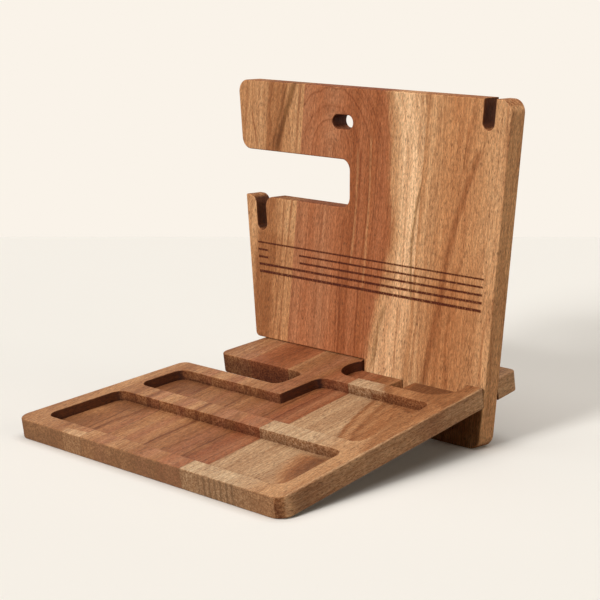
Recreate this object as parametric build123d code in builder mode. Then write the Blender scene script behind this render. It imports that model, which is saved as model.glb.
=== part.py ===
from build123d import *
from math import cos, radians, sin, tan
import os

# Two-board wooden desk stand: a sloping tray board cross-lapped with an upright board.
# Both boards are panels of edge-glued staves.  The tray board rises to the rear, with its
# front lower edge on the table.  The upright stands on the table and slides off to the right.
# Frame: +X to the right, +Y to the rear, +Z up, origin on the table at the middle of the stand.

# ---- Both boards ----------------------------------------------------------------------
BOARD = 15.0            # thickness of both boards
EDGE = 1.0              # radius of the eased outer edges
LAP_GAP = 0.3           # clearance of the cross-lap joint
LAP_TOP_GAP = 0.5       # gap above the tray board in the upright's slot
LAP_X = -1.0            # where the two slots of the cross-lap meet
OVER = 20.0             # how far a cutting tool runs past the wood

# ---- Tray board, measured in its own plane: x across, y from the front edge -------------
TILT = 8.5              # slope of the tray board, degrees
TRAY_WIDTH = 283.0      # width at the front edge
TRAY_LENGTH = 256.0     # length along the slope
TRAY_TAPER = 6.25       # lean of each long side towards the middle, degrees
TRAY_STAVE_LEAN = 6.0   # glue lines lean with the right-hand side, degrees
TRAY_GLUE = (-64.5, -19.5, 44.0)    # glue lines at the front edge
FRONT_CORNER = 10.0     # plan radius of the front corners
REAR_CORNER = 5.0       # plan radius of the rear corners
LAP_BEHIND = 41.4       # from the upright's front face to the tray's rear edge
WING_DEPTH = 40.6       # from the notch to the upright's front face
NOTCH_WIDTH = 27.0      # open notch in the left side, between tray and wing
NOTCH_END = -19.7       # inner end of the notch
NOTCH_ROUND = 7.5
WING_INSET = 5.8        # the wing's side lies inside the tray's side by this
WALL = 15.2             # width of the rims beside the pockets

# ---- Pockets; the front one takes the length that the others leave --------------------------
POCKET_DEPTH = 7.5
POCKET_ROUND = 8.0      # plan radius of the pocket corners
RIM_EASE = 0.6          # eased upper edge of a pocket
PHONE_DEPTH = 28.3      # pocket at the upright's foot, from its front wall to the upright
PHONE_ROUND = 18.0
PHONE_LEFT = -4.0
PHONE_LENGTH = 110.3
CABLE_X = 46.0          # middle of the cable slot in that pocket's floor
CABLE_WIDTH = 13.0
PHONE_RIM = 12.8        # wood between that pocket and the rear pocket
REAR_POCKET_LENGTH = 79.0           # front to rear, in its deeper right part
NOTCH_RIM = 14.0        # wood between the rear pocket's left part and the notch
STEP_X = -2.2           # where the deeper part begins
STEP_ROUND = 2.0        # radius of the corner that stands into the pocket
DIVIDER = 16.2          # wood between the front and the rear pocket

# ---- Upright board, measured on its front face: x from its middle, z from the table --------
UPRIGHT_HEIGHT = 247.0
UPRIGHT_X = -1.1        # middle of the upright; its right side is flush with the tray
UPRIGHT_FOOT = 228.9    # width at the table
UPRIGHT_TAPER = 5.68    # outward lean of each side, degrees
UPRIGHT_GLUE = (-63.4, 63.0)        # glue lines at the top edge
TOP_CORNER = 9.0
FOOT_CORNER = 10.5
ARM_DEPTH = 53.0        # from the top edge to the underside of the arm
ARM_CORNER = 9.5
GAP_HEIGHT = 35.4       # gap below the arm
GAP_END = -16.1         # inner end of that gap
GAP_ROUND = 8.0
HOOK_WIDTH = 10.2       # the two hook slots, open at the top
LEFT_HOOK_WALL = 11.4   # wood left outside a hook slot
RIGHT_HOOK_WALL = 14.2
LEFT_HOOK_DEPTH = 26.5
RIGHT_HOOK_DEPTH = 21.8
HOOK_FLARE = 7.5        # rounded mouth of the left hook slot
HOLE_X = -23.4          # pill-shaped through hole
HOLE_DROP = 25.5        # from the top edge to its middle
HOLE_LENGTH = 21.0
HOLE_HEIGHT = 10.4
MOUTH_ROUND = 4.0       # rounded corners at the mouth of the tray board's slot

# ---- Burnt lines across the upright -------------------------------------------------------
LINE_DROP = 36.3        # from the gap's floor to the top line
LINE_PITCH = 5.65
LINE_WIDTHS = (0.6, 0.8, 1.0, 1.2, 1.4)
LINE_DEPTH = 0.3
LINE_MARGIN = 10.4      # bare wood outside the lines
STUB_LENGTH = 10.0      # short left pieces of the second and third line
BARE_LENGTH = 36.0      # bare wood between those and the long pieces
STUB_LINES = (1, 2)     # which lines have such a short piece, counted from 0 at the top


# ---- Planes and outlines worked out from the sizes ----------------------------------------
slope = radians(TILT)
tray_lean = tan(radians(TRAY_TAPER))
upright_lean = tan(radians(UPRIGHT_TAPER))

# The eased lower edge touches the table, and the whole stand is centred front to back.
ease_lift = EDGE * (sin(slope) + cos(slope) - 1)
front_reach = EDGE * cos(slope) - (BOARD - EDGE) * sin(slope) - EDGE
rear_reach = (TRAY_LENGTH - EDGE) * cos(slope) - EDGE * sin(slope) + EDGE
front_y = -(front_reach + rear_reach) / 2

tray_plane = Plane(origin=(0, front_y, -ease_lift), x_dir=(1, 0, 0),
                   z_dir=(0, -sin(slope), cos(slope)))

# Where the upright's two faces cross the tray board, along the tray's slope.
lap_front = TRAY_LENGTH - LAP_BEHIND
lap_rear = lap_front + BOARD / cos(slope) + BOARD * tan(slope)
upright_y = front_y + lap_front * cos(slope)
upright_plane = Plane(origin=(UPRIGHT_X, upright_y, 0), x_dir=(1, 0, 0), z_dir=(0, -1, 0))

# Along the tray, from the upright forwards.
notch_rear = lap_front - WING_DEPTH
notch_front = notch_rear - NOTCH_WIDTH
phone_front = lap_front - PHONE_DEPTH
rear_pocket_back = phone_front - PHONE_RIM
rear_pocket_front = rear_pocket_back - REAR_POCKET_LENGTH
rear_pocket_left_back = notch_front - NOTCH_RIM
front_pocket_back = rear_pocket_front - DIVIDER

# Down the upright, from the top edge.
hole_z = UPRIGHT_HEIGHT - HOLE_DROP
arm_bottom = UPRIGHT_HEIGHT - ARM_DEPTH
gap_floor = arm_bottom - GAP_HEIGHT
top_line_z = gap_floor - LINE_DROP


def tray_side(y):
    """Half the tray board's width at distance y from its front edge."""
    return TRAY_WIDTH / 2 - y * tray_lean


def upright_side(z):
    """Half the upright's width at height z."""
    return UPRIGHT_FOOT / 2 + z * upright_lean


def on_tray(x, y, z=0.0):
    """A point given across, along and above the tray board's underside."""
    return tray_plane.from_local_coords((x, y, z))


def tray_outline():
    """Corner points of the tray board, counter-clockwise, with their radii."""
    return [
        ((-tray_side(0), 0), FRONT_CORNER),
        ((tray_side(0), 0), FRONT_CORNER),
        ((tray_side(TRAY_LENGTH), TRAY_LENGTH), REAR_CORNER),
        ((-tray_side(TRAY_LENGTH) + WING_INSET, TRAY_LENGTH), REAR_CORNER),
        ((-tray_side(notch_rear) + WING_INSET, notch_rear), NOTCH_ROUND),
        ((NOTCH_END, notch_rear), NOTCH_ROUND),
        ((NOTCH_END, notch_front), NOTCH_ROUND),
        ((-tray_side(notch_front), notch_front), NOTCH_ROUND),
    ]


def upright_outline():
    """Corner points of the upright, counter-clockwise seen from the front, with radii."""
    return [
        ((-upright_side(0), 0), FOOT_CORNER),
        ((upright_side(0), 0), FOOT_CORNER),
        ((upright_side(UPRIGHT_HEIGHT), UPRIGHT_HEIGHT), TOP_CORNER),
        ((-upright_side(UPRIGHT_HEIGHT), UPRIGHT_HEIGHT), TOP_CORNER),
        ((-upright_side(arm_bottom), arm_bottom), ARM_CORNER),
        ((GAP_END, arm_bottom), GAP_ROUND),
        ((GAP_END, gap_floor), GAP_ROUND),
        ((-upright_side(gap_floor), gap_floor), EDGE),
    ]


def outline(corners):
    """A face with the given corner points, each rounded by its own radius."""
    points = [point for point, radius in corners]
    radii = [radius for point, radius in corners]
    with BuildSketch() as drawn:
        with BuildLine():
            FilletPolyline(*points, radius=radii, close=True)
        make_face()
    return drawn.sketch


# ---- Tray board ----------------------------------------------------------------------------
def wide_pocket():
    """The front pocket, which runs the whole width of the tray."""
    back = front_pocket_back
    return outline([
        ((-tray_side(WALL) + WALL, WALL), POCKET_ROUND),
        ((tray_side(WALL) - WALL, WALL), POCKET_ROUND),
        ((tray_side(back) - WALL, back), POCKET_ROUND),
        ((-tray_side(back) + WALL, back), POCKET_ROUND),
    ])


def stepped_pocket():
    """The rear pocket, which reaches further back on the right."""
    front, back, left_back = rear_pocket_front, rear_pocket_back, rear_pocket_left_back
    return outline([
        ((-tray_side(front) + WALL, front), POCKET_ROUND),
        ((tray_side(front) - WALL, front), POCKET_ROUND),
        ((tray_side(back) - WALL, back), POCKET_ROUND),
        ((STEP_X, back), POCKET_ROUND),
        ((STEP_X, left_back), STEP_ROUND),
        ((-tray_side(left_back) + WALL, left_back), POCKET_ROUND),
    ])


slot_front = lap_front - LAP_GAP
slot_rear = lap_rear + LAP_GAP
phone_middle = (PHONE_LEFT + PHONE_LENGTH / 2, phone_front + PHONE_ROUND)

with BuildPart() as tray_board:
    with BuildSketch(tray_plane):
        add(outline(tray_outline()))
    extrude(amount=BOARD)
    fillet(tray_board.faces().filter_by(tray_plane).edges(), EDGE)
    with BuildSketch(tray_plane.offset(BOARD - POCKET_DEPTH)):
        add(wide_pocket())
        add(stepped_pocket())
        with Locations(phone_middle):
            SlotOverall(PHONE_LENGTH, 2 * PHONE_ROUND)
    extrude(amount=POCKET_DEPTH, mode=Mode.SUBTRACT)
    upper_face = tray_board.faces().sort_by(Axis(tray_plane.origin, tray_plane.z_dir))[-1]
    fillet(upper_face.inner_wires().edges(), RIM_EASE)
    # The slot for the upright is cut square to the board and is open at the right.
    with BuildSketch(tray_plane):
        with Locations((LAP_X, slot_front)):
            Rectangle(TRAY_WIDTH, slot_rear - slot_front, align=(Align.MIN, Align.MIN))
        with Locations((CABLE_X, phone_front)):
            Rectangle(CABLE_WIDTH, slot_rear - phone_front, align=(Align.CENTER, Align.MIN))
    extrude(amount=BOARD, mode=Mode.SUBTRACT)


# ---- Upright board -------------------------------------------------------------------------
def hook_middle(side, top, wall):
    """Where a hook slot's middle line meets the edge that it opens through."""
    return side * (upright_side(top) - wall - HOOK_WIDTH / 2)


def hook_slot(side, top, wall, depth):
    """A hook slot with a round bottom, parallel to the board's left or right side."""
    length = depth + OVER
    turn = 90 - side * UPRIGHT_TAPER
    with BuildSketch() as cut:
        with Locations(Location((hook_middle(side, top, wall), top, 0), (0, 0, turn))):
            with Locations((length / 2 - depth, 0)):
                SlotOverall(length, HOOK_WIDTH)
    return cut.sketch


def burnt_line(index):
    """Height of one burnt line, and the left and right ends of its pieces."""
    height = top_line_z - index * LINE_PITCH
    left = -upright_side(height) + LINE_MARGIN
    right = upright_side(height) - LINE_MARGIN
    if index in STUB_LINES:
        stub = left + STUB_LENGTH
        return height, [(left, stub), (stub + BARE_LENGTH, right)]
    return height, [(left, right)]


def mouth_point(height):
    """A point on the outer edge of the slot for the tray board, in mid thickness."""
    along = lap_front + BOARD / 2 / cos(slope)
    level = on_tray(0, along, height).Z
    return (UPRIGHT_X - upright_side(level), upright_y + BOARD / 2, level)


# Side, height of the edge, wood left outside and depth of each hook slot.
hooks = [(-1, gap_floor, LEFT_HOOK_WALL, LEFT_HOOK_DEPTH),
         (1, UPRIGHT_HEIGHT, RIGHT_HOOK_WALL, RIGHT_HOOK_DEPTH)]


def upright_face():
    """The upright's outline with its hook slots and its through hole."""
    with BuildSketch() as face:
        add(outline(upright_outline()))
        for hook in hooks:
            add(hook_slot(*hook), mode=Mode.SUBTRACT)
        with Locations((HOLE_X, hole_z)):
            SlotOverall(HOLE_LENGTH, HOLE_HEIGHT, mode=Mode.SUBTRACT)
        mouth = Vector(hook_middle(-1, gap_floor, LEFT_HOOK_WALL), gap_floor)
        fillet(face.vertices().sort_by_distance(mouth)[:2], HOOK_FLARE)
    return face.sketch


with BuildPart() as upright_board:
    with BuildSketch(upright_plane):
        add(upright_face())
    extrude(amount=-BOARD)
    # The slot for the tray board follows its slope and is open at the left.
    with BuildSketch(tray_plane):
        with Locations((LAP_X + LAP_GAP, lap_front - OVER)):
            Rectangle(TRAY_WIDTH, lap_rear - lap_front + 2 * OVER,
                      align=(Align.MAX, Align.MIN))
    extrude(amount=BOARD + LAP_TOP_GAP, mode=Mode.SUBTRACT)
    mouth_edges = [upright_board.edges().sort_by_distance(mouth_point(height))[0]
                   for height in (0, BOARD + LAP_TOP_GAP)]
    fillet(mouth_edges, MOUTH_ROUND)
    fillet(upright_board.faces().filter_by(upright_plane).edges(), EDGE)
    with BuildSketch(upright_plane):
        for index, width in enumerate(LINE_WIDTHS):
            height, pieces = burnt_line(index)
            for left, right in pieces:
                with Locations(((left + right) / 2, height)):
                    Rectangle(right - left, width)
    extrude(amount=-LINE_DEPTH, mode=Mode.SUBTRACT)


# ---- Glued staves ---------------------------------------------------------------------------
def glue_plane(point, along, across, lean):
    """A glue joint through a point, facing right, leaning left by lean on its way along."""
    turn = radians(lean)
    facing = across * cos(turn) + along * sin(turn)
    return Plane(origin=point, z_dir=facing)


def staves(board, joints):
    """Cut a board at its glue joints, from left to right; a stave may be several solids."""
    strips = []
    for left, right in zip([None] + joints, joints + [None]):
        with BuildPart() as strip:
            add(board.part)
            if left is not None:
                split(bisect_by=left, keep=Keep.TOP)
            if right is not None:
                split(bisect_by=right, keep=Keep.BOTTOM)
        strips.append(strip.part.solids())
    return strips


def save(label, solid):
    """Write one piece of wood to its own file."""
    with BuildPart() as piece:
        add(solid)
    piece.part.label = label
    export_step(piece.part, f"parts/{label}.step")


def save_stave(solids, labels, axis):
    """Write the pieces of one stave, named in their order along an axis."""
    for label, solid in zip(labels, solids.sort_by(axis), strict=True):
        save(label, solid)


tray_joints = [glue_plane(on_tray(x, 0), tray_plane.y_dir, tray_plane.x_dir, TRAY_STAVE_LEAN)
               for x in TRAY_GLUE]
upright_joints = [glue_plane(upright_plane.from_local_coords((x, UPRIGHT_HEIGHT, 0)),
                             upright_plane.y_dir, upright_plane.x_dir, -UPRIGHT_TAPER)
                  for x in UPRIGHT_GLUE]

os.makedirs("parts", exist_ok=True)

outer, inner, middle, right = staves(tray_board, tray_joints)
save_stave(outer, ("tray_outer_stave", "wing_outer_stave"), Axis.Y)
save_stave(inner, ("tray_inner_stave", "wing_inner_stave"), Axis.Y)
save_stave(middle, ("tray_middle_stave",), Axis.Y)
save_stave(right, ("tray_right_stave", "rear_right_stave"), Axis.Y)

left, middle, right = staves(upright_board, upright_joints)
save_stave(left, ("left_foot_stave", "hook_post_stave", "arm_stave"), Axis.Z)
save_stave(middle, ("upright_middle_stave",), Axis.Z)
save_stave(right, ("upright_right_stave",), Axis.Z)
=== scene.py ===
from math import cos, pi, radians, sin, tan

import bpy
from mathutils import Euler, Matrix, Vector


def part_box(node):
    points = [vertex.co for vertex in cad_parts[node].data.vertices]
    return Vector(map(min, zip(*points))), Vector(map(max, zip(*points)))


# Looks of a two-board wooden desk stand: a sloping tray board, cross-lapped with an upright.
# Every piece of wood is a node of the frame; this script gives each its own cut of timber.
# Lengths on the wood are in millimetres on the board, lengths in the scene are in metres.

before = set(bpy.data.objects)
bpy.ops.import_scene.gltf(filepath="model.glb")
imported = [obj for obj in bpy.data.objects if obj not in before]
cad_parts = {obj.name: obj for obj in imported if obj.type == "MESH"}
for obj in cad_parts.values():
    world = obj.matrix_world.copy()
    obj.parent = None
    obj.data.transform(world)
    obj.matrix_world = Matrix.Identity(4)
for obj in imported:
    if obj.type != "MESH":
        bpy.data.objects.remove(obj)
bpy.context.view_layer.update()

MM = 0.001

# ---- The two boards, as they are built -------------------------------------------------------
BOARD = 15.0                        # thickness
EASED_EDGE = 1.0
TRAY_TILT = radians(8.5)
TRAY_GRAIN_LEAN = radians(6.0)      # grain runs parallel to the tray's right side
POCKET_FLOOR = 7.5                  # height above the tray board's underside
FRONT_END = 0.8                     # the tray's front face lies before this length
UPRIGHT_GRAIN_LEAN = radians(5.68)  # grain runs parallel to the upright's right side
UPRIGHT_X = -1.1 * MM
UPRIGHT_HALF_FOOT = 114.45

# Five lines burnt across the upright's front face, of which two leave a place bare.
LINE_DROP = 124.7                   # from the upright's top edge down to the first line
LINE_PITCH = 5.65
LINE_WIDTHS = (0.6, 0.8, 1.0, 1.2, 1.4)
LINE_DEPTH = 0.3
LINE_MARGIN = 10.4                  # from a line's end to the upright's side
STUB_LINES = (1, 2)
STUB_LENGTH = 10.0
BARE_LENGTH = 36.0

tray_front = min(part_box(node)[0].y for node in ("tray_outer_stave", "tray_right_stave"))
upright_low, upright_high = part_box("upright_middle_stave")
edge_lift = EASED_EDGE * (sin(TRAY_TILT) + cos(TRAY_TILT) - 1)
front_overhang = BOARD * sin(TRAY_TILT)

# ---- Photograph's view -----------------------------------------------------------------------
CAMERA_PLACE = (0.9633, -0.8800, 0.3500)
CAMERA_PITCH = radians(10.644)
CAMERA_TURN = radians(46.904)
CAMERA_LENS = 113.18
CAMERA_SHIFT_DOWN = 2 / 600         # of the picture's width
CAMERA_CLIP = (0.05, 30.0)
FLOOR_END = 2.263                   # ahead of the camera, along the floor
FLOOR_NEAR = 2.5                    # behind the camera
FLOOR_HALF_WIDTH = 4.0

# ---- Light -----------------------------------------------------------------------------------
WINDOW_FROM = (0.08, -0.92, 0.42)   # low and in front: the upright's shadow falls far behind it
WINDOW_SPREAD = radians(16)
WINDOW_STRENGTH = 2.5
SKY_FROM = (0.0, 0.0, 1.0)
SKY_SPREAD = radians(72)
SKY_STRENGTH = 1.75
WALL_FROM = (1.0, 0.15, 0.12)       # a pale wall beside the stand
WALL_SPREAD = radians(50)
WALL_STRENGTH = 1.2
WALL_COLOUR = (1.0, 0.93, 0.82)
ROOM_STRENGTH = 0.065


def srgb(red, green, blue):
    """A colour given as it shows on a screen, 0 to 255, in the scene's own linear values."""
    def linear(value):
        value /= 255
        return value / 12.92 if value <= 0.04045 else ((value + 0.055) / 1.055) ** 2.4
    return (linear(red), linear(green), linear(blue), 1.0)


ROOM_COLOUR = srgb(255, 210, 158)
ROOM_SHOWN = srgb(250, 243, 233)
FLOOR_SHOWN = srgb(244, 241, 234)
FLOOR_THROWN = srgb(100, 80, 58)

# ---- Timber tones ----------------------------------------------------------------------------
CREAM = srgb(226, 190, 148)
PALE = srgb(210, 172, 130)
DUSTY_CREAM = srgb(208, 180, 143)
DUSTY_PALE = srgb(193, 162, 126)
BUFF = srgb(196, 153, 110)
TAN = srgb(186, 140, 97)
ORANGE = srgb(182, 131, 87)
ROSE = srgb(173, 121, 86)
BROWN = srgb(159, 110, 70)
RED = srgb(163, 104, 68)
DEEP_RED = srgb(149, 90, 54)
UMBER = srgb(124, 82, 50)
GREYED = srgb(190, 152, 112)
PORE = srgb(92, 55, 31)
# Char of the burnt lines, also used as a painted shadow in the slit beside the upright.
CHAR_AND_PAINTED_SHADOW = srgb(74, 24, 4)

# Tints that a tone is multiplied by.
DIMMED = srgb(238, 228, 220)
ACROSS_GRAIN = srgb(232, 222, 216)
SHADED = srgb(202, 174, 150)
MOTTLED = srgb(192, 168, 146)
LINED = srgb(176, 138, 108)
OLIVE = srgb(176, 164, 140)
RIPPLED = srgb(140, 118, 98)
SMOKY = srgb(140, 132, 124)
# Painted shade, for the tray's pocket walls and for walls that face right.
PAINTED_SHADE = srgb(118, 88, 62)

# How light each board's timber is, next to its tones.
TRAY_LEVEL = 0.95
UPRIGHT_LEVEL = 1.22

# ---- How the wood is drawn -------------------------------------------------------------------
# Fineness of each noise per millimetre: across the grain, along it and through the board.
SLOW_BENDS = (0.022, 0.0075, 0.022)
QUICK_BENDS = (0.14, 0.022, 0.14)
FIBRES_FINE = (0.95, 0.15, 0.95)
STREAKS_FINE = (0.42, 0.014, 0.42)
FLECKS_FINE = (1.05, 0.30, 1.05)
PORES_FINE = (1.25, 0.24, 1.25)
PORE_PATCHES = (0.12, 0.02, 0.12)
MOTTLE_FINE = (0.62, 0.10, 0.62)
BURN_SKIPS = (1.1, 0.5, 1.1)
BROAD_SWAY = (0.05, 0.012, 0.05)
RAGGED_EDGES = (0.35, 0.06, 0.35)

FIBRE_SHADE = 0.36
FLECK_LOW, FLECK_GAIN = 0.84, 0.56
PORE_SHADE = 0.6
FRONT_GREYING = 0.25
# Strength of the painted shade on the tray's pocket walls, reached at the pocket floor.
POCKET_WALL_SHADE = 0.45
LINE_SCORCH = 0.7
JAGGED = 3.0                        # how far a mark's edge strays, in millimetres
FIBRE_HEIGHT = 0.4                  # next to a pore's depth
BUMP_DISTANCE = 0.15 * MM
BUMP_STRENGTH = 0.6
ROUGHNESS = 0.64
FIBRE_SMOOTHING = 0.10
END_ROUGHENING = 0.2
SPECULAR_LEVEL = 0.2

# A curve node works from 0 to 1: how far along and across the board that reaches.
CURVE_LENGTH = 280.0
CURVE_LEFT = -160.0
CURVE_WIDTH = 320.0
FLOAT = "NodeSocketFloat"
VECTOR = "NodeSocketVector"


# ---- Node building ---------------------------------------------------------------------------
class Nodes:
    """Adds nodes to one tree and joins them."""

    def __init__(self, tree):
        self.tree = tree

    def add(self, kind, inputs=None, **settings):
        node = self.tree.nodes.new(kind)
        for name, value in settings.items():
            setattr(node, name, value)
        for key, value in (inputs or {}).items():
            self.feed(node.inputs[key], value)
        return node

    def feed(self, socket, value):
        if isinstance(value, bpy.types.NodeSocket):
            self.tree.links.new(value, socket)
        else:
            socket.default_value = value

    def math(self, operation, first, second=0.0, third=0.0):
        node = self.add("ShaderNodeMath", {0: first, 1: second, 2: third}, operation=operation)
        return node.outputs[0]

    def times(self, first, second):
        return self.math("MULTIPLY", first, second)

    def dot(self, first, second):
        node = self.add("ShaderNodeVectorMath", {0: first, 1: second}, operation="DOT_PRODUCT")
        return node.outputs["Value"]

    def step(self, value, start, end, low=0.0, high=1.0):
        """Smooth rise from low at start to high at end."""
        node = self.add("ShaderNodeMapRange",
                        {"Value": value, "From Min": start, "From Max": end,
                         "To Min": low, "To Max": high}, interpolation_type="SMOOTHSTEP")
        return node.outputs["Result"]

    def between(self, value, limits, soft):
        """One between two limits, fading over a softness at each."""
        low, high = limits
        return self.times(self.step(value, low - soft, low + soft),
                          self.step(value, high + soft, high - soft))

    def noise(self, vector, scale, detail=2.0, roughness=0.5):
        """Noise, stretched by a scale for each axis."""
        stretched = self.add("ShaderNodeVectorMath", {0: vector, 1: scale}, operation="MULTIPLY")
        node = self.add("ShaderNodeTexNoise", {"Vector": stretched.outputs[0], "Scale": 1.0,
                                               "Detail": detail, "Roughness": roughness})
        return node.outputs["Fac"]

    def mix(self, amount, first, second, blend="MIX"):
        node = self.add("ShaderNodeMix", data_type="RGBA", blend_type=blend)
        self.feed(node.inputs[0], amount)
        self.feed(node.inputs[6], first)
        self.feed(node.inputs[7], second)
        return node.outputs[2]

    def tint(self, amount, colour, tint):
        return self.mix(amount, colour, tint, "MULTIPLY")

    def tones(self, across, places):
        """Colours that change across the grain; places are (millimetres, colour)."""
        left, right = places[0][0], places[-1][0]
        share = self.math("DIVIDE", self.math("SUBTRACT", across, left), right - left)
        node = self.add("ShaderNodeValToRGB", {"Fac": share})
        elements = node.color_ramp.elements
        while len(elements) < len(places):
            elements.new(0.5)
        for element, (place, colour) in zip(elements, places):
            element.position = (place - left) / (right - left)
            element.color = colour
        return node.outputs["Color"]

    def course(self, along, points):
        """Millimetres across at which a line runs; points are (along, across), front first."""
        node = self.add("ShaderNodeFloatCurve", {
            "Value": self.math("DIVIDE", along, CURVE_LENGTH)})
        curve = node.mapping.curves[0]
        while len(curve.points) < len(points):
            curve.points.new(0.5, 0.5)
        for point, (length, width) in zip(curve.points, points):
            point.location = (length / CURVE_LENGTH, (width - CURVE_LEFT) / CURVE_WIDTH)
        node.mapping.update()
        return self.math("MULTIPLY_ADD", node.outputs[0], CURVE_WIDTH, CURVE_LEFT)

    def seen(self):
        """One for rays that show a surface: from the camera, a mirror or a glass."""
        ray = self.add("ShaderNodeLightPath").outputs
        bent = self.math("MAXIMUM", ray["Is Glossy Ray"], ray["Is Transmission Ray"])
        return self.math("MAXIMUM", ray["Is Camera Ray"], bent)


def new_group(name, inputs, outputs):
    """An empty shader group with named sockets, its node builder, inputs and output node."""
    group = bpy.data.node_groups.new(name, "ShaderNodeTree")
    for socket, (kind, value) in inputs.items():
        made = group.interface.new_socket(socket, in_out="INPUT", socket_type=kind)
        if value is not None:
            made.default_value = value
    for socket, kind in outputs.items():
        group.interface.new_socket(socket, in_out="OUTPUT", socket_type=kind)
    build = Nodes(group)
    entry = build.add("NodeGroupInput")
    leave = build.add("NodeGroupOutput")
    return group, build, entry.outputs, leave.inputs


def seeded(build, take):
    """The board's position, moved by the seed so that no two staves are alike."""
    shift = build.add("ShaderNodeCombineXYZ", {0: take["Seed"], 1: take["Seed"], 2: take["Seed"]})
    return build.add("ShaderNodeVectorMath", {0: take["Board"], 1: shift.outputs[0]},
                     operation="ADD").outputs[0]


# ---- Shader groups ---------------------------------------------------------------------------
def growth_ring_group():
    """Year rings round a pith, as soft bands and as dark lines.

    Past Rise Start the pith dives away from the face, so the rings close in arches there."""
    group, build, take, give = new_group(
        "growth rings",
        {"Board": (VECTOR, None), "Pith Across": (FLOAT, 0.0), "Pith Depth": (FLOAT, -30.0),
         "Pith Rise": (FLOAT, 0.0), "Rise Start": (FLOAT, 0.0), "Ring Width": (FLOAT, 4.0),
         "Wander": (FLOAT, 4.0), "Seed": (FLOAT, 0.0)},
        {"Bands": FLOAT, "Lines": FLOAT})
    split = build.add("ShaderNodeSeparateXYZ", {0: take["Board"]}).outputs
    place = seeded(build, take)
    slow = build.noise(place, SLOW_BENDS)
    quick = build.noise(place, QUICK_BENDS)
    risen = build.math("MAXIMUM", build.math("SUBTRACT", split[1], take["Rise Start"]), 0.0)
    pith_height = build.math("MULTIPLY_ADD", risen, take["Pith Rise"], take["Pith Depth"])
    across = build.math("SUBTRACT", split[0], take["Pith Across"])
    depth = build.math("SUBTRACT", split[2], pith_height)
    reach = build.math("ADD", build.times(across, across), build.times(depth, depth))
    bent = build.times(build.math("SUBTRACT", slow, 0.5), build.times(take["Wander"], 4.0))
    ripple = build.times(build.math("SUBTRACT", quick, 0.5), take["Wander"])
    radius = build.math("ADD", build.math("SQRT", reach), build.math("ADD", bent, ripple))
    rings = build.math("ADD", build.math("DIVIDE", radius, take["Ring Width"]), take["Seed"])
    bands = build.add("ShaderNodeTexNoise",
                      {"W": rings, "Scale": 0.8, "Detail": 3.0, "Roughness": 0.6},
                      noise_dimensions="1D").outputs["Fac"]
    lines = build.add("ShaderNodeTexNoise", {"W": rings, "Scale": 2.9, "Detail": 1.0},
                      noise_dimensions="1D").outputs["Fac"]
    build.feed(give["Bands"], build.step(bands, 0.30, 0.70))
    build.feed(give["Lines"], build.step(lines, 0.52, 0.78))
    return group


def fibre_group():
    """Fine streaks along the grain, open pores, pale flecks, and the mottling of end grain."""
    group, build, take, give = new_group(
        "fibres and pores",
        {"Board": (VECTOR, None), "Pore Amount": (FLOAT, 0.5), "Seed": (FLOAT, 0.0)},
        {"Fibres": FLOAT, "Streaks": FLOAT, "Pores": FLOAT, "Flecks": FLOAT, "Mottle": FLOAT})
    place = seeded(build, take)
    fibres = build.noise(place, FIBRES_FINE, 2.5, 0.65)
    streaks = build.noise(place, STREAKS_FINE, 4.0, 0.7)
    flecks = build.noise(place, FLECKS_FINE, 2.5, 0.8)
    mottle = build.noise(place, MOTTLE_FINE, 3.0, 0.7)
    spots = build.noise(place, PORES_FINE, 1.0)
    patchy = build.math("MULTIPLY_ADD", build.noise(place, PORE_PATCHES), 0.16, -0.08)
    start = build.math("ADD", build.math("MULTIPLY_ADD", take["Pore Amount"], -0.16, 0.70), patchy)
    build.feed(give["Fibres"], build.step(fibres, 0.36, 0.64))
    build.feed(give["Streaks"], build.step(streaks, 0.36, 0.62))
    build.feed(give["Flecks"], build.step(flecks, 0.34, 0.66))
    build.feed(give["Mottle"], build.step(mottle, 0.40, 0.60))
    build.feed(give["Pores"], build.step(spots, start, build.math("ADD", start, 0.08)))
    return group


def end_grain_group():
    """How much a face is cut across the grain, from the face's own direction."""
    group, build, take, give = new_group(
        "end grain", {"Facing": (VECTOR, None), "Grain": (VECTOR, None)}, {"Mask": FLOAT})
    along = build.math("ABSOLUTE", build.dot(take["Facing"], take["Grain"]))
    build.feed(give["Mask"], build.step(along, 0.45, 0.8))
    return group


def burnt_line(build, place, index, spread, fade):
    """One burnt line, this much wider on each side than its groove and this soft."""
    height = upright_high.z / MM - LINE_DROP - index * LINE_PITCH
    half = LINE_WIDTHS[index] / 2 + spread
    end = UPRIGHT_HALF_FOOT + height * tan(UPRIGHT_GRAIN_LEAN) - LINE_MARGIN + spread
    away = build.math("ABSOLUTE", build.math("SUBTRACT", place[2], height))
    side = build.math("ABSOLUTE", place[0])
    band = build.times(build.step(away, half + fade / 2, half - fade / 2),
                       build.step(side, end + fade / 2, end - fade / 2))
    if index in STUB_LINES:
        middle = -end + spread + STUB_LENGTH + BARE_LENGTH / 2
        off = build.math("ABSOLUTE", build.math("SUBTRACT", place[0], middle))
        bare = BARE_LENGTH / 2 - spread
        band = build.times(band, build.step(off, bare - fade / 2, bare + fade / 2))
    return band


def burnt_line_group():
    """The five burnt lines: their char, and the scorched wood beside them."""
    group, build, take, give = new_group(
        "burnt lines", {"Board": (VECTOR, None), "Place": (VECTOR, None)},
        {"Burn": FLOAT, "Scorch": FLOAT})
    place = build.add("ShaderNodeSeparateXYZ", {0: take["Place"]}).outputs
    shallow = build.step(place[1], LINE_DEPTH + 0.25, LINE_DEPTH + 0.1)
    skip = build.step(build.noise(take["Board"], BURN_SKIPS), 0.34, 0.5, 0.45, 1.0)
    for output, spread, fade in (("Burn", 0.18, 0.16), ("Scorch", 0.55, 0.6)):
        total = burnt_line(build, place, 0, spread, fade)
        for index in range(1, len(LINE_WIDTHS)):
            total = build.math("MAXIMUM", total, burnt_line(build, place, index, spread, fade))
        build.feed(give[output], build.times(build.times(total, shallow), skip))
    return group


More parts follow.
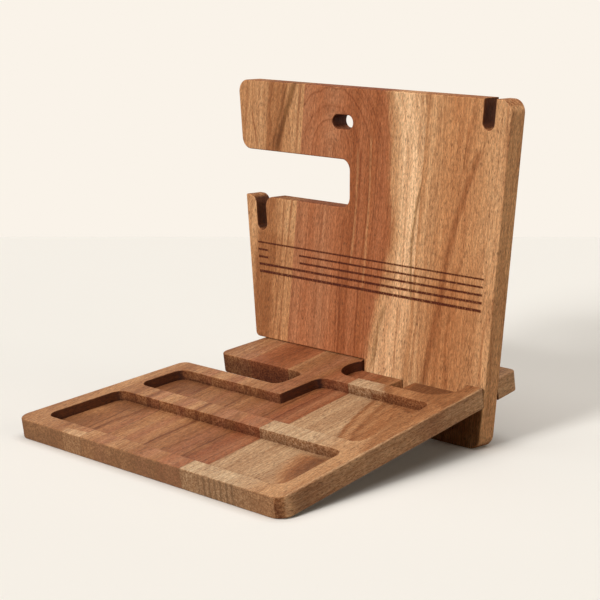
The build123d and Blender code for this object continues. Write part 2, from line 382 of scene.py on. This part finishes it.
GROWTH_RINGS = growth_ring_group()
FIBRES = fibre_group()
END_GRAIN = end_grain_group()
BURNT_LINES = burnt_line_group()


# ---- Marks on a stave ------------------------------------------------------------------------
# Each mark is a function that adds itself to a stave's colour.  Places on the board are
# millimetres across the grain, along it and through the board; a course is (along, across).
def zone(course, tones, soft=1.5, rough=0.0, depths=None, lengths=None):
    """Wood of another tone to the right of a course; its tones count from there."""
    def add(build, colour, place):
        away = build.math("SUBTRACT", place["across"], build.course(place["along"], course))
        away = build.math("MULTIPLY_ADD", place["ragged"], rough, away)
        inside = build.step(away, -soft, soft)
        if depths:
            inside = build.times(inside, build.between(place["through"], depths, 1.2))
        if lengths:
            inside = build.times(inside, build.between(place["along"], lengths, 5.0))
        return build.mix(inside, colour, build.tones(away, tones))
    return add


def line(course, width, tint, amount=0.8, soft=1.0, blend="MULTIPLY"):
    """A streak that follows a course and fades at both ends of it."""
    def add(build, colour, place):
        away = build.math("SUBTRACT", place["across"], build.course(place["along"], course))
        near = build.step(build.math("ABSOLUTE", away), width / 2 + soft, width / 2 - soft / 2)
        ends = (course[0][0] + 4.0, course[-1][0] - 4.0)
        near = build.times(near, build.between(place["along"], ends, 4.0))
        return build.mix(build.times(near, amount), colour, tint, blend)
    return add


def patch(across, along, tone, amount=1.0, soft=1.0, depths=None):
    """A place of another tone, between two lengths across and two along."""
    def add(build, colour, place):
        inside = build.times(build.between(place["across"], across, soft),
                             build.between(place["along"], along, soft))
        if depths:
            inside = build.times(inside, build.between(place["through"], depths, 0.6))
        return build.mix(build.times(inside, amount), colour, tone)
    return add


def ripples(across, pitch, amount):
    """Ripples that the planer left on the tray's front face."""
    def add(build, colour, place):
        turns = build.times(place["across"], 2 * pi / pitch)
        turns = build.math("MULTIPLY_ADD", place["ragged"], 2.5, turns)
        wave = build.step(build.math("SINE", turns), -0.2, 0.9)
        inside = build.times(build.between(place["across"], across, 3.0), place["front"])
        return build.tint(build.times(build.times(wave, inside), amount), colour, RIPPLED)
    return add


def knot(across, height, radius, tone, edge):
    """A small soft knot on the tray's front face, inside a slightly darker edge."""
    def add(build, colour, place):
        aside = build.math("SUBTRACT", place["across"], across)
        above = build.math("SUBTRACT", place["through"], height)
        square = build.math("ADD", build.times(aside, aside), build.times(above, above))
        reach = build.math("MULTIPLY_ADD", place["ragged"], 1.2, build.math("SQRT", square))
        ring = build.times(place["front"], build.step(reach, radius + 1.6, radius))
        heart = build.times(place["front"], build.step(reach, radius, 0.0))
        return build.mix(heart, build.tint(ring, colour, edge), tone)
    return add


# ---- Timber of one stave ---------------------------------------------------------------------
class Board:
    """Where a board's own millimetres lie: across the grain, along it and through the board."""

    def __init__(self, turn, corner, has_pockets):
        matrix = turn.to_matrix()
        across, grain, through = matrix
        self.turn = turn
        self.shift = -(matrix @ (corner / MM))
        self.across = across
        self.grain = grain
        self.through = through
        self.has_pockets = has_pockets


TRAY = Board(Euler((-TRAY_TILT, 0, -TRAY_GRAIN_LEAN)),
             Vector((0, tray_front + front_overhang * MM, -edge_lift * MM)), has_pockets=True)
UPRIGHT = Board(Euler((-pi / 2, 0, UPRIGHT_GRAIN_LEAN)),
                Vector((UPRIGHT_X, upright_low.y, 0)), has_pockets=False)


def find_place(build, on_board, end):
    """Where a point lies on its board.

    A mark's edge strays with ragged; front is one on the tray's front face."""
    across, along, through = build.add("ShaderNodeSeparateXYZ", {0: on_board}).outputs
    ragged = build.math("SUBTRACT", build.noise(on_board, RAGGED_EDGES, 3.0, 0.7), 0.5)
    behind = build.math("MULTIPLY_ADD", across, sin(TRAY_GRAIN_LEAN),
                        build.times(along, cos(TRAY_GRAIN_LEAN)))
    return {"straight": across, "across": build.math("MULTIPLY_ADD", ragged, JAGGED, across),
            "along": along, "through": through, "ragged": ragged,
            "front": build.times(end, build.step(behind, FRONT_END, FRONT_END / 2))}


def add_grain(build, colour, grown, fibre, dark, lines, streaks, level):
    """Year rings, then fibres, drawn streaks and pale flecks."""
    banded = build.times(build.math("SUBTRACT", 1.0, grown["Bands"]), dark)
    colour = build.tint(banded, colour, SHADED)
    colour = build.tint(build.times(grown["Lines"], lines), colour, LINED)
    thin = build.math("MULTIPLY_ADD", fibre["Fibres"], -FIBRE_SHADE, FIBRE_SHADE)
    colour = build.tint(thin, colour, SHADED)
    drawn = build.math("MULTIPLY_ADD", fibre["Streaks"], -streaks, streaks)
    colour = build.tint(drawn, colour, LINED)
    light = build.math("MULTIPLY_ADD", fibre["Flecks"], FLECK_GAIN * level, FLECK_LOW * level)
    return build.add("ShaderNodeVectorMath", {0: colour, "Scale": light},
                     operation="SCALE").outputs[0]


def add_end_grain(build, colour, board, place, fibre, end):
    """Mottled end grain; on the tray it is greyed in front, and inside the pockets painted shade
    darkens it the deeper it lies.
    """
    cut = build.tint(1.0, colour, ACROSS_GRAIN)
    cut = build.tint(fibre["Mottle"], cut, MOTTLED)
    if board.has_pockets:
        cut = build.mix(build.times(place["front"], FRONT_GREYING), cut, GREYED)
        # Painted shade: end-grain pocket walls darken from the board's top down to the pocket
        # floor.
        wall = build.step(place["through"], BOARD, POCKET_FLOOR, 0.0, POCKET_WALL_SHADE)
        wall = build.times(wall, build.math("SUBTRACT", 1.0, place["front"]))
        cut = build.tint(wall, cut, PAINTED_SHADE)
    return build.mix(end, colour, cut)


# Painted shade: the tray's pocket floors are darkened as recesses.
def paint_shade_on_pocket_floors(build, colour, board, place, normal):
    upward = build.dot(normal, board.through)
    floor = build.times(build.step(upward, 0.6, 0.9),
                        build.step(place["through"], POCKET_FLOOR + 0.8, POCKET_FLOOR + 0.2))
    return build.tint(floor, colour, DIMMED)


def paint_shade_on_right_walls(build, colour, board, place, normal, limit):
    """Painted shade: walls that face right are darkened, as far right as the limit."""
    rightward = build.dot(normal, board.across)
    shade_amount = build.times(build.step(rightward, 0.3, 0.8),
                         build.step(place["straight"], limit, limit - 2))
    return build.tint(shade_amount, colour, PAINTED_SHADE)


def burn_lines(build, colour, on_board, position):
    on_face = build.add("ShaderNodeMapping", {
        "Vector": position, "Scale": (1 / MM,) * 3,
        "Location": (-UPRIGHT_X / MM, -upright_low.y / MM, 0)}).outputs[0]
    lines = build.add("ShaderNodeGroup", node_tree=BURNT_LINES)
    build.feed(lines.inputs["Board"], on_board)
    build.feed(lines.inputs["Place"], on_face)
    colour = build.tint(build.times(lines.outputs["Scorch"], LINE_SCORCH), colour, LINED)
    return build.mix(lines.outputs["Burn"], colour, CHAR_AND_PAINTED_SHADOW)


def oiled_surface(build, colour, fibre, end):
    """Thinly oiled wood, with raised fibres and open pores."""
    height = build.math("SUBTRACT", build.times(fibre["Fibres"], FIBRE_HEIGHT), fibre["Pores"])
    bump = build.add("ShaderNodeBump", {"Height": height, "Distance": BUMP_DISTANCE,
                                        "Strength": BUMP_STRENGTH})
    rough = build.math("MULTIPLY_ADD", fibre["Fibres"], -FIBRE_SMOOTHING, ROUGHNESS)
    rough = build.math("MULTIPLY_ADD", end, END_ROUGHENING, rough)
    shader = build.add("ShaderNodeBsdfPrincipled", {
        "Base Color": colour, "Roughness": rough, "Normal": bump.outputs[0],
        "Specular IOR Level": SPECULAR_LEVEL})
    build.add("ShaderNodeOutputMaterial", {"Surface": shader.outputs[0]})


def stave_material(name, board, tones, rings, marks=(), level=1.0, sway=6.0, dark=0.5,
                   lines=0.4, streaks=0.3, pores=0.5, right_walls_shaded_to=None, seed=0.0, burnt=False):
    """Timber of one stave.

    Tones are (millimetres across, colour) from left to right, and sway is how far they wander.
    Dark, lines, streaks and pores are how strongly each part of the grain shows."""
    material = bpy.data.materials.new(name)
    material.use_nodes = True
    material.node_tree.nodes.clear()
    build = Nodes(material.node_tree)
    where = build.add("ShaderNodeTexCoord").outputs
    on_board = build.add("ShaderNodeMapping", {
        "Vector": where["Object"], "Scale": (1 / MM,) * 3, "Rotation": board.turn,
        "Location": board.shift}).outputs[0]
    grown = build.add("ShaderNodeGroup", node_tree=GROWTH_RINGS)
    fibre = build.add("ShaderNodeGroup", node_tree=FIBRES)
    ends = build.add("ShaderNodeGroup", node_tree=END_GRAIN)
    for node in (grown, fibre):
        build.feed(node.inputs["Board"], on_board)
        build.feed(node.inputs["Seed"], seed)
    for key, value in rings.items():
        build.feed(grown.inputs[key], value)
    build.feed(fibre.inputs["Pore Amount"], pores)
    build.feed(ends.inputs["Facing"], where["Normal"])
    build.feed(ends.inputs["Grain"], board.grain)
    end = ends.outputs["Mask"]
    place = find_place(build, on_board, end)

    broad = build.math("SUBTRACT", build.noise(on_board, BROAD_SWAY, 3.0), 0.5)
    swayed = build.math("MULTIPLY_ADD", broad, sway * 2, place["straight"])
    colour = build.tones(swayed, tones)
    for add_mark in marks:
        colour = add_mark(build, colour, place)
    colour = add_grain(build, colour, grown.outputs, fibre.outputs, dark, lines, streaks, level)
    colour = add_end_grain(build, colour, board, place, fibre.outputs, end)
    colour = build.mix(build.times(fibre.outputs["Pores"], PORE_SHADE), colour, PORE)
    # Painted shade on the pocket floors.
    if board.has_pockets:
        colour = paint_shade_on_pocket_floors(build, colour, board, place, where["Normal"])
    # Painted shade on the walls that face right, left of the given limit.
    if right_walls_shaded_to is not None:
        colour = paint_shade_on_right_walls(build, colour, board, place, where["Normal"], right_walls_shaded_to)
    if burnt:
        colour = burn_lines(build, colour, on_board, where["Object"])
    oiled_surface(build, colour, fibre.outputs, end)
    return material


def dress(nodes, material):
    """Give CAD pieces their timber."""
    for node in nodes:
        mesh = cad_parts[node].data
        mesh.materials.clear()
        mesh.materials.append(material)


# ---- The staves of both boards ---------------------------------------------------------------
def tray_timber():
    """Four staves: brown, brown, red, and sapwood with a brown heart."""
    outer = stave_material(
        "brown outer stave", TRAY,
        [(-140, BROWN), (-124, TAN), (-108, TAN), (-94, BROWN), (-80, TAN), (-64, ROSE)],
        {"Pith Across": -112.0, "Pith Depth": -26.0, "Ring Width": 4.5, "Wander": 5.0},
        marks=[patch((-84, -60), (-10, 15.5), PALE, 0.9, 0.8),
               line([(16, -79), (45, -81), (85, -76), (130, -80)], 4.0, LINED, 0.7, 2.0),
               line([(12, -92), (60, -88), (100, -92), (135, -86)], 1.2, LINED, 0.5),
               line([(-20, -64.1), (250, -64.1)], 0.5, SMOKY, 0.7, 0.3),
               # Painted shade: these three patches darken the pocket floors next to their left and
               # rear walls.
               patch((-130, -96), (10, 60), UMBER, 0.6, 9.0, depths=(0, 9)),
               patch((-130, -70), (72, 100), UMBER, 0.55, 9.0, depths=(0, 9)),
               patch((-130, -60), (120, 150), UMBER, 0.7, 9.0, depths=(0, 9))],
        level=TRAY_LEVEL, right_walls_shaded_to=-70, seed=3.1, pores=0.6)
    inner = stave_material(
        "brown inner stave", TRAY,
        [(-64, TAN), (-52, TAN), (-40, ROSE), (-30, TAN), (-19, BROWN)],
        {"Pith Across": -42.0, "Pith Depth": -12.0, "Ring Width": 4.0, "Wander": 5.0},
        marks=[line([(-20, -64.1), (140, -64.1)], 0.6, SMOKY, 0.8, 0.3),
               line([(14, -24), (40, -25), (80, -23), (140, -26)], 2.0, LINED, 0.8),
               knot(-27, 6, 2.6, ORANGE, DIMMED),
               # Painted shade: the rear pocket's floor darker towards its rear wall.
               patch((-64, -16), (110, 150), UMBER, 0.35, 9.0, depths=(0, 9))],
        level=TRAY_LEVEL, dark=0.35, lines=0.3, seed=11.7, pores=0.5)
    wing = stave_material(
        "red wing stave", TRAY,
        [(-66, TAN), (-60, RED), (-45, DEEP_RED), (-30, DEEP_RED), (-19, RED)],
        {"Pith Across": -42.0, "Pith Depth": -30.0, "Ring Width": 5.0, "Wander": 5.0},
        dark=0.4, lines=0.3, seed=14.2, pores=0.4)
    middle = stave_material(
        "red middle stave", TRAY,
        [(-19, TAN), (-8, BROWN), (6, ROSE), (16, BROWN), (24, RED), (34, ROSE), (44, RED)],
        {"Pith Across": 12.0, "Pith Depth": -30.0, "Ring Width": 4.2, "Wander": 5.0},
        marks=[line([(14, 16), (50, 15), (80, 17)], 1.2, LINED, 0.7),
               line([(95, 17), (140, 16), (178, 18)], 1.0, LINED, 0.7),
               line([(95, 28), (140, 27), (178, 29)], 1.0, LINED, 0.7)],
        level=TRAY_LEVEL, dark=0.45, right_walls_shaded_to=40, seed=23.9, pores=0.55)
    front_pocket_heart = zone(
        [(10, 112), (17, 106), (46, 90), (60, 88)],
        [(-6, DUSTY_PALE), (3, BUFF), (10, BROWN), (20, UMBER), (30, BROWN)],
        6.0, 8.0, depths=(0, 12), lengths=(0, 65))
    rear_pocket_heart = zone(
        [(84, 112), (92, 97), (105, 88), (127, 80), (163, 69)],
        [(-2, BROWN), (2, BROWN), (5, BUFF), (9, BUFF), (12, BROWN), (17, TAN), (24, ORANGE),
         (32, TAN), (48, BROWN), (75, ORANGE)],
        2.0, 5.0, depths=(0, 12), lengths=(75, 172))
    rim_heart = zone(
        [(60, 142), (85, 130), (125, 122), (150, 120), (170, 74), (210, 68), (260, 66)],
        [(-2, BROWN), (6, BROWN), (20, ORANGE), (40, BROWN), (66, BROWN), (76, TAN)],
        5.0, 8.0, lengths=(68, 300))
    # Painted shade: the recessed phone pocket floor is made darker than the rim around it.
    phone_pocket_painted_shade = zone(
        [(170, 18), (215, 18)],
        [(0, UMBER), (30, BROWN), (44, TAN), (58, BROWN), (90, TAN)],
        3.0, depths=(-5, 12), lengths=(182, 230))
    right = stave_material(
        "sapwood right stave", TRAY,
        [(44, DUSTY_PALE), (52, DUSTY_CREAM), (66, DUSTY_PALE), (78, DUSTY_CREAM),
         (95, DUSTY_PALE), (120, BUFF), (145, TAN)],
        {"Pith Across": 120.0, "Pith Depth": -20.0, "Ring Width": 4.2, "Wander": 6.0},
        marks=[front_pocket_heart, rear_pocket_heart, rim_heart, phone_pocket_painted_shade,
               # Painted shade: the right end of the phone pocket's floor.
               patch((78, 130), (174, 212), UMBER, 0.8, 1.0, depths=(0, 12)),
               patch((120, 160), (222, 300), BUFF, 0.8, 2.0),
               ripples((62, 97), 5.5, 0.75),
               patch((139.0, 160), (-40, 300), DUSTY_PALE, 0.55, 0.6),
               line([(-10, 139.5), (80, 142), (160, 139)], 0.8, LINED, 0.5),
               # Painted shadow: a dark slit on the tray's side where it enters the upright.
               patch((136, 160), (200.4, 206), CHAR_AND_PAINTED_SHADOW, 0.9, 0.4),
               line([(-20, 43.8), (260, 43.8)], 0.4, LINED, 0.6, 0.3)],
        level=TRAY_LEVEL, sway=5.0, dark=0.3, lines=0.3, seed=37.3, pores=0.6)
    dress(("tray_outer_stave", "wing_outer_stave"), outer)
    dress(("tray_inner_stave",), inner)
    dress(("wing_inner_stave",), wing)
    dress(("tray_middle_stave",), middle)
    dress(("tray_right_stave", "rear_right_stave"), right)


def upright_timber():
    """Three staves: streaked tan, red with a band of sapwood, and tan."""
    left = stave_material(
        "streaked left stave", UPRIGHT,
        [(-145, TAN), (-134, BUFF), (-124, BROWN), (-112, BROWN), (-104, TAN), (-94, BUFF),
         (-87, TAN)],
        {"Pith Across": -118.0, "Pith Depth": -24.0, "Ring Width": 4.6, "Wander": 5.0},
        marks=[line([(180, -114), (198, -111), (215, -106), (245, -97)], 4.0, OLIVE, 0.9, 2.5),
               line([(180, -119), (198, -116), (215, -112), (245, -105)], 1.6, OLIVE, 0.6, 1.5),
               line([(182, -135), (200, -141), (215, -146)], 1.4, LINED, 0.6),
               line([(30, -97), (90, -96), (150, -93), (245, -93)], 1.8, LINED, 0.5),
               line([(30, -104), (90, -102), (150, -101)], 1.2, LINED, 0.5),
               line([(16, -105), (60, -105), (125, -102)], 50.0, DIMMED, 0.9, 15.0)],
        level=UPRIGHT_LEVEL, dark=0.4, lines=0.3, right_walls_shaded_to=-95, seed=51.3, burnt=True)
    sapwood_band = zone(
        [(30, -4), (70, 0), (100, 5), (120, 10), (145, 13), (180, 8), (220, 4), (255, -4)],
        [(0, TAN), (4, BUFF), (9, PALE), (15, CREAM), (26, CREAM), (33, PALE), (40, TAN)],
        4.0, 9.0)
    middle = stave_material(
        "red middle board", UPRIGHT,
        [(-88, ROSE), (-70, RED), (-56, ROSE), (-44, RED), (-30, DEEP_RED), (-22, RED),
         (-12, DEEP_RED), (0, RED), (12, DEEP_RED)],
        {"Pith Across": -56.0, "Pith Depth": -3.0, "Pith Rise": -0.85, "Rise Start": 198.0,
         "Ring Width": 6.5, "Wander": 3.0},
        marks=[sapwood_band,
               line([(40, 43), (85, 42), (121, 35), (165, 35), (212, 44), (250, 48)], 2.0,
                    OLIVE, 0.8),
               line([(40, 4), (60, 6), (75, 8), (97, 14)], 3.0, OLIVE, 0.6, 2.0),
               line([(110, -26), (160, -25), (205, -27)], 1.4, TAN, 0.6, 1.0, "MIX"),
               line([(95, -12), (160, -12), (215, -15)], 1.4, TAN, 0.5, 1.0, "MIX"),
               line([(16, 20), (60, 22), (125, 25)], 22.0, DIMMED, 0.9, 8.0),
               line([(40, -33), (75, -34), (105, -37)], 1.2, LINED, 0.6),
               line([(118, -22), (160, -22), (205, -24)], 1.2, LINED, 0.6)],
        level=UPRIGHT_LEVEL, sway=5.0, dark=0.4, lines=0.45, right_walls_shaded_to=0, seed=64.9,
        burnt=True)
    right = stave_material(
        "tan right stave", UPRIGHT,
        [(38, TAN), (46, BUFF), (54, TAN), (62, ORANGE), (78, ORANGE), (96, TAN), (106, BUFF),
         (115, BUFF)],
        {"Pith Across": 95.0, "Pith Depth": -24.0, "Ring Width": 4.2, "Wander": 6.0},
        marks=[line([(40, 55), (60, 58), (100, 64), (135, 68), (160, 72), (190, 80), (225, 91)],
                    4.0, LINED, 0.6, 3.0),
               line([(40, 43), (90, 45), (120, 46)], 1.8, LINED, 0.5),
               line([(16, 80), (60, 80), (125, 80)], 50.0, DIMMED, 0.9, 20.0),
               line([(180, 73), (210, 76), (245, 80)], 1.2, LINED, 0.4)],
        level=UPRIGHT_LEVEL, dark=0.35, lines=0.25, right_walls_shaded_to=104, seed=77.7, burnt=True)
    dress(("arm_stave", "hook_post_stave", "left_foot_stave"), left)
    dress(("upright_middle_stave",), middle)
    dress(("upright_right_stave",), right)


# ---- Floor, light and camera -----------------------------------------------------------------
def floor():
    """Pale floor whose far edge is the line that the photograph shows behind the stand.

    It shows pale to the camera and mirrors, and throws less light back under the tray."""
    ahead = Vector((-sin(CAMERA_TURN), cos(CAMERA_TURN), 0))
    aside = Vector((cos(CAMERA_TURN), sin(CAMERA_TURN), 0))
    stand = Vector((CAMERA_PLACE[0], CAMERA_PLACE[1], 0))
    corners = [stand + ahead * reach + aside * side for reach, side in (
        (-FLOOR_NEAR, -FLOOR_HALF_WIDTH), (-FLOOR_NEAR, FLOOR_HALF_WIDTH),
        (FLOOR_END, FLOOR_HALF_WIDTH), (FLOOR_END, -FLOOR_HALF_WIDTH))]
    mesh = bpy.data.meshes.new("floor")
    mesh.from_pydata(corners, [], [(0, 1, 2, 3)])
    material = bpy.data.materials.new("pale floor")
    material.use_nodes = True
    material.node_tree.nodes.clear()
    build = Nodes(material.node_tree)
    shown = build.add("ShaderNodeBsdfDiffuse", {"Color": FLOOR_SHOWN})
    thrown = build.add("ShaderNodeBsdfDiffuse", {"Color": FLOOR_THROWN})
    mixed = build.add("ShaderNodeMixShader", {0: build.seen(), 1: thrown.outputs[0],
                                              2: shown.outputs[0]})
    build.add("ShaderNodeOutputMaterial", {"Surface": mixed.outputs[0]})
    mesh.materials.append(material)
    piece = bpy.data.objects.new("floor", mesh)
    bpy.context.scene.collection.objects.link(piece)


def sun(name, source, spread, strength, colour=(1.0, 1.0, 1.0)):
    """Even light from one side of the room, softened by its spread."""
    data = bpy.data.lights.new(name, "SUN")
    data.color = colour
    data.angle = spread
    data.energy = strength
    piece = bpy.data.objects.new(name, data)
    piece.rotation_euler = Vector(source).to_track_quat("Z", "Y").to_euler()
    bpy.context.scene.collection.objects.link(piece)


def light():
    """A low soft window in front, a wide sky above, a wall at the right, and a pale room.

    The room shows pale to the camera and mirrors, and lights the stand only a little."""
    world = bpy.data.worlds.new("pale room")
    bpy.context.scene.world = world
    world.use_nodes = True
    world.node_tree.nodes.clear()
    build = Nodes(world.node_tree)
    lit = build.add("ShaderNodeBackground", {"Color": ROOM_COLOUR, "Strength": ROOM_STRENGTH})
    shown = build.add("ShaderNodeBackground", {"Color": ROOM_SHOWN, "Strength": 1.0})
    mixed = build.add("ShaderNodeMixShader", {0: build.seen(), 1: lit.outputs[0],
                                              2: shown.outputs[0]})
    build.add("ShaderNodeOutputWorld", {"Surface": mixed.outputs[0]})
    sun("window", WINDOW_FROM, WINDOW_SPREAD, WINDOW_STRENGTH)
    sun("sky", SKY_FROM, SKY_SPREAD, SKY_STRENGTH)
    sun("side wall", WALL_FROM, WALL_SPREAD, WALL_STRENGTH, WALL_COLOUR)


def camera():
    data = bpy.data.cameras.new("photograph")
    data.lens = CAMERA_LENS
    data.shift_y = -CAMERA_SHIFT_DOWN
    data.clip_start, data.clip_end = CAMERA_CLIP
    piece = bpy.data.objects.new("photograph", data)
    piece.location = CAMERA_PLACE
    piece.rotation_euler = (pi / 2 - CAMERA_PITCH, 0, CAMERA_TURN)
    bpy.context.scene.collection.objects.link(piece)
    bpy.context.scene.camera = piece
    bpy.context.scene.view_settings.view_transform = "Standard"


tray_timber()
upright_timber()
floor()
light()
camera()
